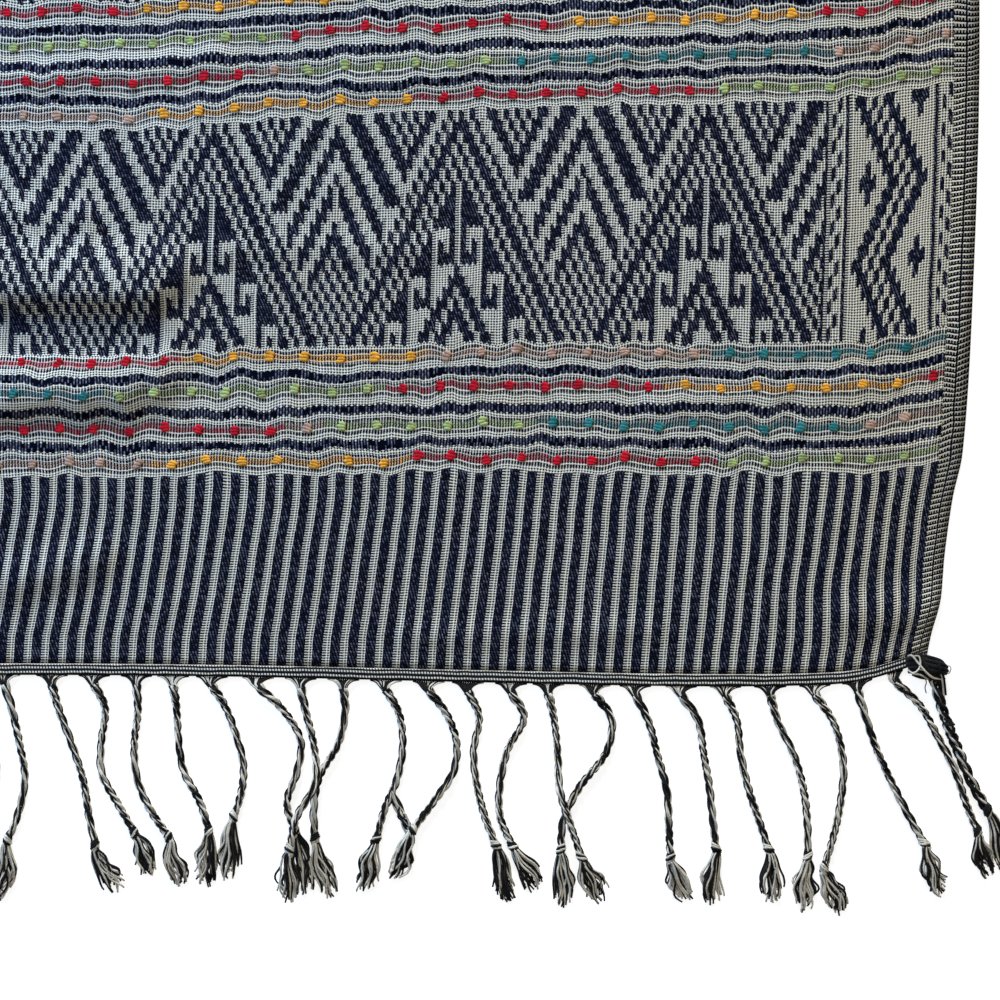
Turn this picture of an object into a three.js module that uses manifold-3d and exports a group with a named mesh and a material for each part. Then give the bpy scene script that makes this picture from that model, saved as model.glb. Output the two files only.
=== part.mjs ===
// A handwoven shawl lying flat, with plied fringe cords along both ends.
// Millimetres, +Z up. X runs across the cloth, Y along it, and Z = 0 is the surface it lies on.
// s is a place across the flat cloth, from its middle; t is a place along it, from the near hem.

import * as THREE from 'three';
import { mergeVertices } from 'three/addons/utils/BufferGeometryUtils.js';
import Module from 'manifold-3d';

const wasm = await Module();
wasm.setup();

// ---- Driving sizes -------------------------------------------------------------------------

const WIDTH = 700;            // selvage to selvage
const HEM = 6.5;              // the three-line woven edge at each end
const STRIPE_BAND = 107;      // band of warp stripes next to each hem
const DOT_BAND = 69;          // band of dotted weft lines
const FIGURE_BAND = 129;      // band of woven figures
const REPEATS = 8;            // pairs of dotted and figured bands
const LENGTH = 2 * (HEM + STRIPE_BAND) + DOT_BAND + REPEATS * (DOT_BAND + FIGURE_BAND);

const WALL = 1.5;             // doubled cloth
const HEM_WALL = 1.8;         // its beaten-up edge, a little thicker
const GAP = 0.3;              // between neighbouring pieces, and under hanging threads
const CELLS_ACROSS = 16;      // facets of the wall
const CELLS_ALONG = 90;

const CORD_RADIUS = 1.95;
const KNOT_RADIUS = 3.1;
const KNOT_LENGTH = 5.5;
const FAN_HALF_WIDTH = 7.5;   // warp ends gathered from the hem into one cord
const FAN_HALF_HEIGHT = 0.55;
const FAN_DEPTH = 5;
const FAN_ROOT = 1.5;         // how far inside the hem the gathered ends start
const CORD_STEPS = 6;         // sections from the fan to the knot
const CORD_PITCH = 22.5;
const CORDS_PER_END = 31;
const LOCK_HALF_WIDTH = 2.2;  // a tuft is drawn as locks of loose thread
const LOCK_HALF_HEIGHT = 1.3;
const LOCK_SPREAD = 2.9;      // from the middle of a tuft to the middle of its outer lock
const LOCKS_PER_TUFT = 2;
const LOCK_UNEVEN = 3;        // each lock is shorter than the one before by this
const TUFT_SETTLES = 0.75;    // share of a crossing's height that its tuft keeps at the tip
const CROSSING_LIFT = 6.9;    // one cord lying over another
const CORNER_KNOT = { x: 11, y: 6, z: 3.6 };  // half sizes

// Where the middle of the whole outline lies, which becomes the origin.
const MIDDLE_X = 6.1;
const MIDDLE_Y = 939.7;

// ---- How the flat cloth lies ---------------------------------------------------------------

// lean: all warp threads drift towards -X; right, left: how far each selvage is drawn in.
const WARP_ROWS = [
  { t: 0, lean: 13, right: 15, left: 6 },
  { t: 15, lean: 12, right: 13, left: 5 },
  { t: 35, lean: 10.8, right: 9.2, left: 4 },
  { t: 60, lean: 9.2, right: 8.4, left: 3 },
  { t: 90, lean: 6.9, right: 6.4, left: 2 },
  { t: 113.5, lean: 5.3, right: 2.8, left: 1 },
  { t: 182.5, lean: 3.8, right: -0.6, left: 0 },
  { t: 311.5, lean: 0, right: -1, left: 1 },
  { t: 500, lean: -2, right: 2, left: 3 },
  { t: 900, lean: -5, right: 1, left: -2 },
  { t: 1400, lean: 2, right: -3, left: 3 },
  { t: 1880, lean: -4, right: 3, left: -4 },
];
const DRAWN_WIDTH = 250;      // how far in from a selvage that drawing-in is felt

// How far a weft thread rises along Y, at eight places across the cloth.
const RISE_PLACES = {
  w350: -350, w180: -180, w45: -45, e95: 95, e200: 200, e270: 270, e310: 310, e350: 350,
};
const RISE_ROWS = [
  { t: 0, w350: 3, w180: 5.4, w45: 3.2, e95: 0, e200: -1.1, e270: -1.1, e310: 0.5, e350: 10 },
  { t: 113.5, w350: -2, w180: -2.7, w45: -2.7, e95: 0, e200: -2, e270: -2, e310: 0, e350: 9 },
  { t: 182.5, w350: -4, w180: -5.4, w45: -2.7, e95: 0, e200: 0, e270: 0, e310: 0.5, e350: 10.5 },
  { t: 311.5, w350: -12, w180: -14, w45: -6, e95: 0, e200: 0.5, e270: 2.2, e310: 6, e350: 14 },
  { t: 500, w350: -10, w180: -12, w45: -6, e95: 0, e200: 1, e270: 3, e310: 6, e350: 12 },
  { t: 900, w350: 4, w180: 2, w45: 0, e95: 0, e200: -1, e270: -3, e310: -5, e350: -6 },
  { t: 1400, w350: -3, w180: -2, w45: 0, e95: 1, e200: 2, e270: 1, e310: -2, e350: -6 },
  { t: 1880, w350: 6, w180: 2, w45: 0, e95: -2, e200: -3, e270: -1, e310: 1, e350: 5 },
];

// Soft ridges where the cloth lifts off the surface: a line from one end to the other.
const FOLDS = [
  { s0: -290, t0: 238, s1: -88, t1: 229, half: 26, height: 7 },
  { s0: -300, t0: 158, s1: -92, t1: 168, half: 26, height: 6 },
  { s0: -165, t0: 52, s1: -118, t1: 66, half: 20, height: 3.5 },
  { s0: 300, t0: 36, s1: 344, t1: 30, half: 18, height: 3 },
  { s0: -340, t0: 430, s1: -60, t1: 470, half: 32, height: 8 },
  { s0: 120, t0: 560, s1: 345, t1: 520, half: 30, height: 7 },
  { s0: -120, t0: 700, s1: 180, t1: 760, half: 36, height: 8 },
  { s0: -345, t0: 880, s1: -150, t1: 820, half: 30, height: 6 },
  { s0: 60, t0: 960, s1: 340, t1: 1040, half: 34, height: 9 },
  { s0: -300, t0: 1120, s1: 20, t1: 1180, half: 34, height: 8 },
  { s0: -60, t0: 1330, s1: 260, t1: 1290, half: 30, height: 6 },
  { s0: -345, t0: 1500, s1: -100, t1: 1440, half: 32, height: 7 },
  { s0: 40, t0: 1600, s1: 345, t1: 1660, half: 34, height: 8 },
  { s0: -260, t0: 1735, s1: -40, t1: 1765, half: 28, height: 5 },
];

// A smooth curve through one column of a table of rows.
function follow(rows, key, column, at) {
  const last = rows.length - 1;
  if (at <= rows[0][key]) return rows[0][column];
  if (at >= rows[last][key]) return rows[last][column];
  const i = rows.findIndex((row) => row[key] > at) - 1;
  const slope = (a, b) => (rows[b][column] - rows[a][column]) / (rows[b][key] - rows[a][key]);
  const span = rows[i + 1][key] - rows[i][key];
  const u = (at - rows[i][key]) / span;
  const m0 = slope(Math.max(i - 1, 0), i + 1) * span;
  const m1 = slope(i, Math.min(i + 2, last)) * span;
  const p0 = rows[i][column];
  const p1 = rows[i + 1][column];
  return (2 * u ** 3 - 3 * u ** 2 + 1) * p0 + (u ** 3 - 2 * u ** 2 + u) * m0
    + (3 * u ** 2 - 2 * u ** 3) * p1 + (u ** 3 - u ** 2) * m1;
}

function rise(s, t) {
  const across = Object.entries(RISE_PLACES).map(([name, place]) => ({
    s: place, rise: follow(RISE_ROWS, 't', name, t),
  }));
  return follow(across, 's', 'rise', s);
}

// 0 in the body of the cloth, 1 at the selvage.
function nearSelvage(fromMiddle) {
  const u = (fromMiddle - (WIDTH / 2 - DRAWN_WIDTH)) / DRAWN_WIDTH;
  return Math.max(0, u) ** 2;
}

function lift(s, t) {
  let height = 0;
  for (const fold of FOLDS) {
    const alongS = fold.s1 - fold.s0;
    const alongT = fold.t1 - fold.t0;
    const u = ((s - fold.s0) * alongS + (t - fold.t0) * alongT) / (alongS ** 2 + alongT ** 2);
    const held = Math.min(1, Math.max(0, u));
    const away = Math.hypot(s - fold.s0 - held * alongS, t - fold.t0 - held * alongT);
    if (away < fold.half) height += fold.height * Math.cos(Math.PI / 2 * away / fold.half) ** 2;
  }
  return height;
}

// A place on the flat cloth, and a height in it, as a point of the laid cloth.
function lay(s, t, height) {
  const x = s - follow(WARP_ROWS, 't', 'lean', t)
    - follow(WARP_ROWS, 't', 'right', t) * nearSelvage(s)
    + follow(WARP_ROWS, 't', 'left', t) * nearSelvage(-s);
  const y = t + rise(s, t);
  return new THREE.Vector3(x - MIDDLE_X, y - MIDDLE_Y, lift(s, t) + height);
}

// ---- Closed meshes -------------------------------------------------------------------------

function geometryOf(points, triangles) {
  const geometry = new THREE.BufferGeometry();
  const positions = points.flatMap((point) => point.toArray());
  geometry.setAttribute('position', new THREE.Float32BufferAttribute(positions, 3));
  geometry.setIndex(triangles.flat());
  return geometry;
}

// A wall of cloth between two lists of lines, one across and one along.
function wall(across, along, thickness) {
  const columns = across.length;
  const rows = along.length;
  const under = along.flatMap((t) => across.map((s) => lay(s, t, 0)));
  const upper = under.map((p) => new THREE.Vector3(p.x, p.y, p.z + thickness));
  const layer = columns * rows;
  const triangles = [];
  const quad = (a, b, c, d) => triangles.push([a, b, c], [a, c, d]);
  for (let j = 0; j < rows - 1; j += 1) {
    for (let i = 0; i < columns - 1; i += 1) {
      const a = j * columns + i;
      const b = a + 1;
      const c = b + columns;
      const d = a + columns;
      quad(layer + a, layer + b, layer + c, layer + d);
      quad(d, c, b, a);
    }
  }
  const rim = [];
  for (let i = 0; i < columns - 1; i += 1) rim.push(i);
  for (let j = 0; j < rows - 1; j += 1) rim.push(j * columns + columns - 1);
  for (let i = columns - 1; i > 0; i -= 1) rim.push((rows - 1) * columns + i);
  for (let j = rows - 1; j > 0; j -= 1) rim.push(j * columns);
  rim.forEach((a, n) => {
    const b = rim[(n + 1) % rim.length];
    quad(a, b, layer + b, layer + a);
  });
  return geometryOf([...under, ...upper], triangles);
}

// A strand through sections: each has a centre, a half width and a half height.
function strand(sections, sides) {
  const points = [];
  const triangles = [];
  const last = sections.length - 1;
  sections.forEach((section, k) => {
    const before = sections[Math.max(0, k - 1)].at;
    const after = sections[Math.min(last, k + 1)].at;
    const ahead = new THREE.Vector3(after.x - before.x, after.y - before.y, 0).normalize();
    const aside = new THREE.Vector3(ahead.y, -ahead.x, 0);
    for (let i = 0; i < sides; i += 1) {
      const turn = 2 * Math.PI * i / sides + Math.PI / 2;
      points.push(section.at.clone()
        .addScaledVector(aside, section.halfWidth * Math.cos(turn))
        .add(new THREE.Vector3(0, 0, section.halfHeight * Math.sin(turn))));
    }
  });
  for (let k = 0; k < last; k += 1) {
    for (let i = 0; i < sides; i += 1) {
      const a = k * sides + i;
      const b = k * sides + (i + 1) % sides;
      triangles.push([a, a + sides, b], [b, a + sides, b + sides]);
    }
  }
  for (let i = 1; i < sides - 1; i += 1) {
    triangles.push([0, i, i + 1], [last * sides, last * sides + i + 1, last * sides + i]);
  }
  return geometryOf(points, triangles);
}

function solidOf(geometry) {
  return new wasm.Manifold(new wasm.Mesh({
    numProp: 3,
    vertProperties: new Float32Array(geometry.getAttribute('position').array),
    triVerts: new Uint32Array(geometry.getIndex().array),
  }));
}

function geometryFromSolid(solid) {
  const { vertProperties, triVerts, numProp } = solid.getMesh();
  const geometry = new THREE.BufferGeometry();
  const positions = [];
  for (let i = 0; i < vertProperties.length; i += numProp) {
    positions.push(vertProperties[i], vertProperties[i + 1], vertProperties[i + 2]);
  }
  geometry.setAttribute('position', new THREE.Float32BufferAttribute(positions, 3));
  geometry.setIndex(Array.from(triVerts));
  return geometry;
}

// ---- Fringe --------------------------------------------------------------------------------

// One row for each cord: root, its place across the hem; drop, from the hem to its knot;
// a..e, how far it has swayed towards +X at each fifth of that drop; tip and reach, where its
// tuft ends, from the knot; over, the fifth by which it lies on its neighbour; fan, the half
// width of its gathered root where that is not FAN_HALF_WIDTH.
const CORDS = [
  { root: -161, drop: 91, a: 4, b: 8, c: 11, d: 8, e: 1, tip: -3, reach: 31 },
  { root: -135, drop: 94, a: 4, b: 11, c: 17, d: 20, e: 24, tip: 12, reach: 23 },
  { root: -112, drop: 87, a: 6, b: 4, c: 4, d: 13, e: 23, tip: 8, reach: 22 },
  { root: -89, drop: 89, a: 1, b: -1, c: 0, d: 7, e: 19, tip: 5, reach: 25 },
  { root: -69, drop: 86, a: 2, b: 3, c: 6, d: 15, e: 20, tip: -3, reach: 28 },
  { root: -48, drop: 78, a: 7, b: 13, c: 17, d: 16, e: 11, tip: -2, reach: 32 },
  { root: -23, drop: 85, a: 13, b: 23, c: 21, d: 15.5, e: 21, tip: 6, reach: 33 },
  { root: 0, drop: 94, a: 3, b: 7.5, c: 8, d: -2, e: -6, tip: 1, reach: 27, over: 3 },
  { root: 23, drop: 88, a: 1, b: -3, c: -13, d: -16, e: -15, tip: 9, reach: 30 },
  { root: 46, drop: 88, a: 7, b: 9, c: 6, d: -1, e: -6, tip: -6, reach: 28 },
  { root: 69, drop: 82, a: 9, b: 15, c: 13, d: 2, e: -10, tip: -10, reach: 26 },
  { root: 90, drop: 90, a: 6, b: 3, c: 4.5, d: 9, e: 16, tip: 5, reach: 29 },
  { root: 113, drop: 90, a: 7, b: -2, c: -6, d: -6, e: 2, tip: 13, reach: 22 },
  { root: 133, drop: 95, a: 3, b: 5, c: 6, d: 12, e: 18.5, tip: 9, reach: 23, over: 3 },
  { root: 158, drop: 91, a: 9, b: 6, c: -8, d: -17, e: -18.5, tip: 2, reach: 29 },
  { root: 180, drop: 95, a: 7, b: 12, c: 17, d: 18, e: 19, tip: 9, reach: 22 },
  { root: 205, drop: 90, a: 9, b: 12, c: 15, d: 17, e: 19, tip: -3, reach: 28 },
  { root: 229, drop: 90, a: 6, b: 8, c: 12, d: 18, e: 24, tip: 1, reach: 27 },
  { root: 253, drop: 94, a: 4, b: 13, c: 18, d: 20, e: 20, tip: -2, reach: 28 },
  { root: 278, drop: 101, a: 10, b: 15, c: 14, d: 10, e: 4, tip: 10, reach: 23 },
  { root: 303, drop: 89, a: 4, b: 10, c: 18, d: 27, e: 37, tip: 8, reach: 27 },
  { root: 328, drop: 88, a: 13, b: 23, c: 32, d: 38, e: 45, tip: 6, reach: 23, fan: 4 },
  { root: 356, drop: 82, a: 2, b: 7, c: 13.5, d: 20.5, e: 30, tip: 11, reach: 33, fan: 3 },
];
const FIFTHS = ['a', 'b', 'c', 'd', 'e'];

// Rows that lie clear of their neighbours, taken in turn, there and back, where cords repeat.
const PLAIN_ROWS = [5, 16, 4, 18, 15, 17, 2, 3];

function plainRow(index) {
  const swing = 2 * (PLAIN_ROWS.length - 1);
  const step = index % swing;
  return CORDS[PLAIN_ROWS[Math.min(step, swing - step)]];
}

function nearCords() {
  const hidden = CORDS_PER_END - CORDS.length;
  const cords = [...CORDS];
  for (let i = 1; i <= hidden; i += 1) {
    cords.push({ ...plainRow(i - 1), root: CORDS[0].root - i * CORD_PITCH });
  }
  return cords;
}

function farCords() {
  const first = -CORD_PITCH * (CORDS_PER_END - 1) / 2;
  return Array.from({ length: CORDS_PER_END }, (_, i) => ({
    ...plainRow(i), root: first + i * CORD_PITCH,
  }));
}

// One cord with its knot and tuft, as strands that share their roots. outward is -1 at the
// near end and 1 at the far one, where everything is turned half round.
function cordStrands(cord, hemAt, outward) {
  const hem = lay(-outward * cord.root, hemAt, 0);
  const place = (sway, drop, height) =>
    new THREE.Vector3(hem.x - outward * sway, hem.y + outward * drop, height);
  const raise = (part) => {
    if (!cord.over) return 0;
    const u = Math.min(1, Math.max(0, part * FIFTHS.length - cord.over + 1));
    return CROSSING_LIFT * u * u * (3 - 2 * u);
  };
  const route = new THREE.CatmullRomCurve3([
    place(0, FAN_DEPTH, 0),
    ...FIFTHS.map((fifth, i) => place(cord[fifth], cord.drop * (i + 1) / FIFTHS.length, 0)),
  ], false, 'centripetal');

  const rest = GAP + CORD_RADIUS;
  const fan = cord.fan ?? FAN_HALF_WIDTH;
  const sections = [
    { at: place(0, -FAN_ROOT, HEM_WALL / 2), halfWidth: fan, halfHeight: FAN_HALF_HEIGHT },
    { at: place(0, FAN_DEPTH, rest), halfWidth: CORD_RADIUS, halfHeight: CORD_RADIUS },
  ];
  const knotPart = 1 - KNOT_LENGTH / cord.drop;
  for (let k = 1; k <= CORD_STEPS; k += 1) {
    const part = knotPart * k / CORD_STEPS;
    const at = route.getPointAt(part);
    at.z = rest + raise(part);
    sections.push({ at, halfWidth: CORD_RADIUS, halfHeight: CORD_RADIUS });
  }
  const knotHeight = GAP + KNOT_RADIUS + raise(1);
  for (const part of [knotPart + (1 - knotPart) * 0.3, 1]) {
    const at = route.getPointAt(part);
    at.z = knotHeight;
    sections.push({ at, halfWidth: KNOT_RADIUS, halfHeight: KNOT_RADIUS });
  }
  const strands = [strand(sections, 4)];

  const foot = route.getPointAt(1);
  const low = GAP + LOCK_HALF_HEIGHT + raise(1) * TUFT_SETTLES;
  for (let i = 0; i < LOCKS_PER_TUFT; i += 1) {
    const side = 2 * i / (LOCKS_PER_TUFT - 1) - 1;
    const reach = cord.reach - LOCK_UNEVEN * i;
    const section = (part, aside, height, width, thickness) => ({
      at: new THREE.Vector3(
        foot.x - outward * cord.tip * part + side * aside, foot.y + outward * reach * part, height,
      ),
      halfWidth: LOCK_HALF_WIDTH * width,
      halfHeight: LOCK_HALF_HEIGHT * thickness,
    });
    strands.push(strand([
      section(-0.06, 0.3, knotHeight, 0.6, 1),
      section(0.5, LOCK_SPREAD, (low + knotHeight) / 2, 1, 1),
      section(1, LOCK_SPREAD, low, 0.8, 0.7),
    ], 3));
  }
  return strands;
}

// The drawn-up corner, where the last warp ends and the selvage are tied together.
function cornerKnot() {
  const knot = new THREE.SphereGeometry(1, 10, 6);
  knot.deleteAttribute('normal');
  knot.deleteAttribute('uv');
  const corner = lay(WIDTH / 2, 0, 0);
  knot.scale(CORNER_KNOT.x, CORNER_KNOT.y, CORNER_KNOT.z);
  knot.translate(corner.x, corner.y - CORNER_KNOT.y / 2, GAP + CORNER_KNOT.z);
  return mergeVertices(knot);
}

// ---- Pieces --------------------------------------------------------------------------------

const evenly = (from, to, count) =>
  Array.from({ length: count + 1 }, (_, i) => from + (to - from) * i / count);

// Lines across the cloth lie closer together near the selvages.
const ACROSS = evenly(-1, 1, CELLS_ACROSS)
  .map((u) => WIDTH / 2 * (0.7 * u + 0.3 * Math.sin(Math.PI / 2 * u)));
const ALONG = evenly(HEM, LENGTH - HEM, CELLS_ALONG);

function clothGeometry() {
  return wall(ACROSS, ALONG, WALL);
}

// The hem strip, parted from the cloth, with the cords that grow from it.
function fringeGeometry(cords, hemAt, outward, knots = []) {
  const inner = hemAt - outward * (HEM - GAP);
  const edges = [hemAt, inner].sort((p, q) => p - q);
  const strip = solidOf(wall(ACROSS, edges, HEM_WALL));
  const strands = cords.flatMap((cord) => cordStrands(cord, hemAt, outward));
  const grown = [...strands, ...knots].map(solidOf);
  return geometryFromSolid(grown.reduce((joined, one) => joined.add(one), strip));
}

const navyAndWhite = new THREE.MeshStandardMaterial({ color: 0x5a6072, roughness: 0.9, metalness: 0 });
const blackAndWhite = new THREE.MeshStandardMaterial({ color: 0x6b6a66, roughness: 0.92, metalness: 0 });

const group = new THREE.Group();

function addPiece(name, geometry, material) {
  const mesh = new THREE.Mesh(geometry, material);
  mesh.name = name;
  group.add(mesh);
}

addPiece('cloth', clothGeometry(), navyAndWhite);
addPiece('fringe_near', fringeGeometry(nearCords(), 0, -1, [cornerKnot()]), blackAndWhite);
addPiece('fringe_far', fringeGeometry(farCords(), LENGTH, 1), blackAndWhite.clone());

export default group;
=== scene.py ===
"""A handwoven shawl in doubled cotton, laid flat, with knotted fringe cords at both ends.

Sizes are millimetres until a point is laid down, where MM turns it into metres.
s is a place across the flat cloth, from its middle; t is a place along it, from the near hem.
"""

import math
import random

import bmesh
import bpy
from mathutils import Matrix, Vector, noise


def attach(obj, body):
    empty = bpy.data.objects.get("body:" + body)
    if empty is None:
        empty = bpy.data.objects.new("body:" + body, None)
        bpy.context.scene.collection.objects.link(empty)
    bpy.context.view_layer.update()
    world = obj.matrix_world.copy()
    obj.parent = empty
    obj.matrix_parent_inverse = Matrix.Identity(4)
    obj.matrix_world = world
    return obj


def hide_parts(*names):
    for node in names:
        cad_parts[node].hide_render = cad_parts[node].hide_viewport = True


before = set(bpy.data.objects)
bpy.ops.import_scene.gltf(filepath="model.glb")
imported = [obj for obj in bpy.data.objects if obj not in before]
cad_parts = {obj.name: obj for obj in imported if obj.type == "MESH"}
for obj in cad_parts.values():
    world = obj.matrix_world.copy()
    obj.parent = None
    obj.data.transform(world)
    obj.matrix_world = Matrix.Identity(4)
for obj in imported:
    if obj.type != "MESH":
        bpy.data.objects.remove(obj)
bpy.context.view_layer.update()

MM = 0.001

# ---- The cloth's sizes ---------------------------------------------------------------------

WIDTH = 700
HEM = 6.5
STRIPE_BAND = 107
DOT_BAND = 69
FIGURE_BAND = 129
REPEATS = 8
BAND_REPEAT = DOT_BAND + FIGURE_BAND
LENGTH = 2 * (HEM + STRIPE_BAND) + DOT_BAND + REPEATS * BAND_REPEAT
WALL = 1.5
HEM_WALL = 1.8
GAP = 0.3                     # between a hem and the web, and under the cords
# Where the frame's middle lies, among the places of the laid cloth.
MIDDLE_X = 6.1
MIDDLE_Y = 939.7

CORD_RADIUS = 1.95
KNOT_RADIUS = 3.1
KNOT_LENGTH = 5.5
FAN_HALF_WIDTH = 7.5
FAN_DEPTH = 5
CORD_PITCH = 22.5
CORDS_PER_END = 31
TUFT_SETTLES = 0.75
CROSSING_LIFT = 6.9

# ---- Objects of the scene ------------------------------------------------------------------


def placed(name, data):
    """A mesh, lamp, curve or camera as a named object of the scene."""
    piece = bpy.data.objects.new(name, data)
    bpy.context.scene.collection.objects.link(piece)
    return piece


def mesh_of(name, shape, materials=()):
    """A mesh of a finished bmesh, which is freed."""
    mesh = bpy.data.meshes.new(name)
    shape.to_mesh(mesh)
    shape.free()
    for material in materials:
        mesh.materials.append(material)
    return mesh


# ---- The camera ----------------------------------------------------------------------------

VIEW_MIDDLE = Vector((0.0858, -0.8423, 0))
VIEW_SIDE = 0.541
CAMERA_HEIGHT = 1.6
SENSOR = 36


def make_camera():
    data = bpy.data.cameras.new("camera_above")
    data.sensor_width = SENSOR
    data.lens = SENSOR * CAMERA_HEIGHT / VIEW_SIDE
    camera = placed("camera_above", data)
    camera.location = VIEW_MIDDLE + Vector((0, 0, CAMERA_HEIGHT))
    bpy.context.scene.camera = camera


# ---- How the flat cloth lies ---------------------------------------------------------------


def table(names, rows):
    """Rows of numbers, each with the names of their columns."""
    return [dict(zip(names.split(), row)) for row in rows]


# t: a place along the cloth; lean: how far all warp threads have drifted there towards -X;
# right, left: how far each selvage is drawn in.
WARP_ROWS = table("t lean right left", [
    (0, 13, 15, 6),
    (15, 12, 13, 5),
    (35, 10.8, 9.2, 4),
    (60, 9.2, 8.4, 3),
    (90, 6.9, 6.4, 2),
    (113.5, 5.3, 2.8, 1),
    (182.5, 3.8, -0.6, 0),
    (311.5, 0, -1, 1),
    (500, -2, 2, 3),
    (900, -5, 1, -2),
    (1400, 2, -3, 3),
    (1880, -4, 3, -4),
])
DRAWN_WIDTH = 250

# How far a weft thread rises along Y: first its place along the cloth, then the rise at each
# of RISE_PLACES across it.
RISE_PLACES = (-350, -180, -45, 95, 200, 270, 310, 350)
RISE_ROWS = [
    (0, 1, 2.8, 2.0, -1.2, -3.2, -3, -0.5, 10),
    (113.5, -2, -2.7, -2.7, 0, -2, -2, 0, 9),
    (182.5, -4, -5.4, -2.7, 0, 0, 0, 0.5, 10.5),
    (311.5, -12, -14, -6, 0, 0.5, 2.2, 6, 14),
    (500, -10, -12, -6, 0, 1, 3, 6, 12),
    (900, 4, 2, 0, 0, -1, -3, -5, -6),
    (1400, -3, -2, 0, 1, 2, 1, -2, -6),
    (1880, 6, 2, 0, -2, -3, -1, 1, 5),
]

# Soft ridges where the cloth lifts off the surface, each a line from one end to the other.
FOLDS = table("s0 t0 s1 t1 half height", [
    (-290, 238, -88, 229, 26, 7),
    (-300, 158, -92, 168, 26, 6),
    (-165, 52, -118, 66, 20, 3.5),
    (300, 36, 344, 30, 18, 3),
    (-340, 430, -60, 470, 32, 8),
    (120, 560, 345, 520, 30, 7),
    (-120, 700, 180, 760, 36, 8),
    (-345, 880, -150, 820, 30, 6),
    (60, 960, 340, 1040, 34, 9),
    (-300, 1120, 20, 1180, 34, 8),
    (-60, 1330, 260, 1290, 30, 6),
    (-345, 1500, -100, 1440, 32, 7),
    (40, 1600, 345, 1660, 34, 8),
    (-260, 1735, -40, 1765, 28, 5),
])
# Sharper creases on and beside them.
CREASES = table("s0 t0 s1 t1 half height", [
    (-300, 224, -95, 216, 15, 4.2),
    (-300, 147, -105, 155, 13, 2.6),
    (-300, 268, -130, 262, 16, 2.0),
    (-60, 243, 60, 236, 13, 1.4),
    (10, 330, 160, 338, 14, 1.4),
    (-170, 338, -60, 346, 14, 1.8),
    (180, 150, 300, 160, 12, 1.2),
    (60, 24, 190, 30, 12, 1.6),
])

# How far threads have drifted inside the cloth while its edges stayed where they are. A row
# starts with a place along the cloth, and then gives the drift at each of DRIFT_PLACES.
DRIFT_PLACES = (-350, -155, -110, -70, -25, 20, 105, 190, 235, 280, 320, 350)
SIDEWAYS_ROWS = [
    (21.6, 0, 5.4, 5.6, 6, 6, 6, 5.4, 3.2, 1, -3, -4.7, 0),
    (48.7, 0, 1.6, 2.2, 2.7, 3.2, 3.4, 3.8, 2.7, 0.5, -0.5, -2.5, 0),
    (75.7, 0, -0.3, 0, 0.5, 1.2, 1.6, 2.2, 2.2, -0.5, -1.9, -1.9, 0),
    (97.4, 0, -2.2, -1, -0.5, -0.5, 0, 1.6, 2.2, 0.5, -1.9, -1.4, 0),
    (130, 0, 0, 0, 0, 0, 0, 0, 0, 0, 0, 0, 0),
]
ALONG_ROWS = [
    (113.5, 0, 0, 0, 0, 0, 0, 0, 0, 0, 0, 0.8, 0),
    (145, 0, 0, -0.5, 0, -0.3, -0.5, 0, 0.2, -0.3, -0.3, 1.2, 0),
    (203, 0, -3, -4.5, -2, -1, -1.5, -0.3, -0.7, -0.5, 0.5, 3.5, 0),
    (227, 0, -4.9, -5.4, -4.3, -3.8, -3.8, -1.6, -0.8, -1.2, 0.5, 3.7, 0),
    (251, 0, -3.2, -4.3, -5.5, -3.2, -3.2, -1.2, -1.2, -1, 0, 1.8, 0),
    (285, 0, -1.3, -3.8, -3.8, -2.7, -2, -0.9, -0.8, -1, 0.5, 1, 0),
    (335, 0, -0.5, -3.2, -3.8, -2.7, -2.4, -2.2, 0, 1, 0.5, 2.5, 0),
    (500, 0, 0, 0, 0, 0, 0, 0, 0, 0, 0, 0, 0),
]


def follow(rows, key, column, at):
    """A smooth curve through one column of a table, whose places are in the key column."""
    last = len(rows) - 1
    if at <= rows[0][key]:
        return rows[0][column]
    if at >= rows[last][key]:
        return rows[last][column]
    i = next(n for n, row in enumerate(rows) if row[key] > at) - 1

    def slope(a, b):
        return (rows[b][column] - rows[a][column]) / (rows[b][key] - rows[a][key])

    span = rows[i + 1][key] - rows[i][key]
    u = (at - rows[i][key]) / span
    m0 = slope(max(i - 1, 0), i + 1) * span
    m1 = slope(i, min(i + 2, last)) * span
    p0, p1 = rows[i][column], rows[i + 1][column]
    return ((2 * u**3 - 3 * u**2 + 1) * p0 + (u**3 - 2 * u**2 + u) * m0
            + (3 * u**2 - 2 * u**3) * p1 + (u**3 - u**2) * m1)


class Row:
    """What lay() needs to know of one place along the cloth, worked out once."""

    kept = {}

    def __init__(self, t):
        self.lean = follow(WARP_ROWS, "t", "lean", t)
        self.right = follow(WARP_ROWS, "t", "right", t)
        self.left = follow(WARP_ROWS, "t", "left", t)
        self.across = [dict(s=place, rise=follow(RISE_ROWS, 0, column, t))
                       for column, place in enumerate(RISE_PLACES, 1)]
        self.drift = [dict(s=place, sideways=follow(SIDEWAYS_ROWS, 0, column, t),
                           along=follow(ALONG_ROWS, 0, column, t))
                      for column, place in enumerate(DRIFT_PLACES, 1)]

    @classmethod
    def at(cls, t):
        key = round(t, 3)
        if key not in cls.kept:
            cls.kept[key] = cls(t)
        return cls.kept[key]


def near_selvage(from_middle):
    """0 in the body of the cloth, 1 at the selvage."""
    return max(0.0, (from_middle - (WIDTH / 2 - DRAWN_WIDTH)) / DRAWN_WIDTH) ** 2


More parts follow.
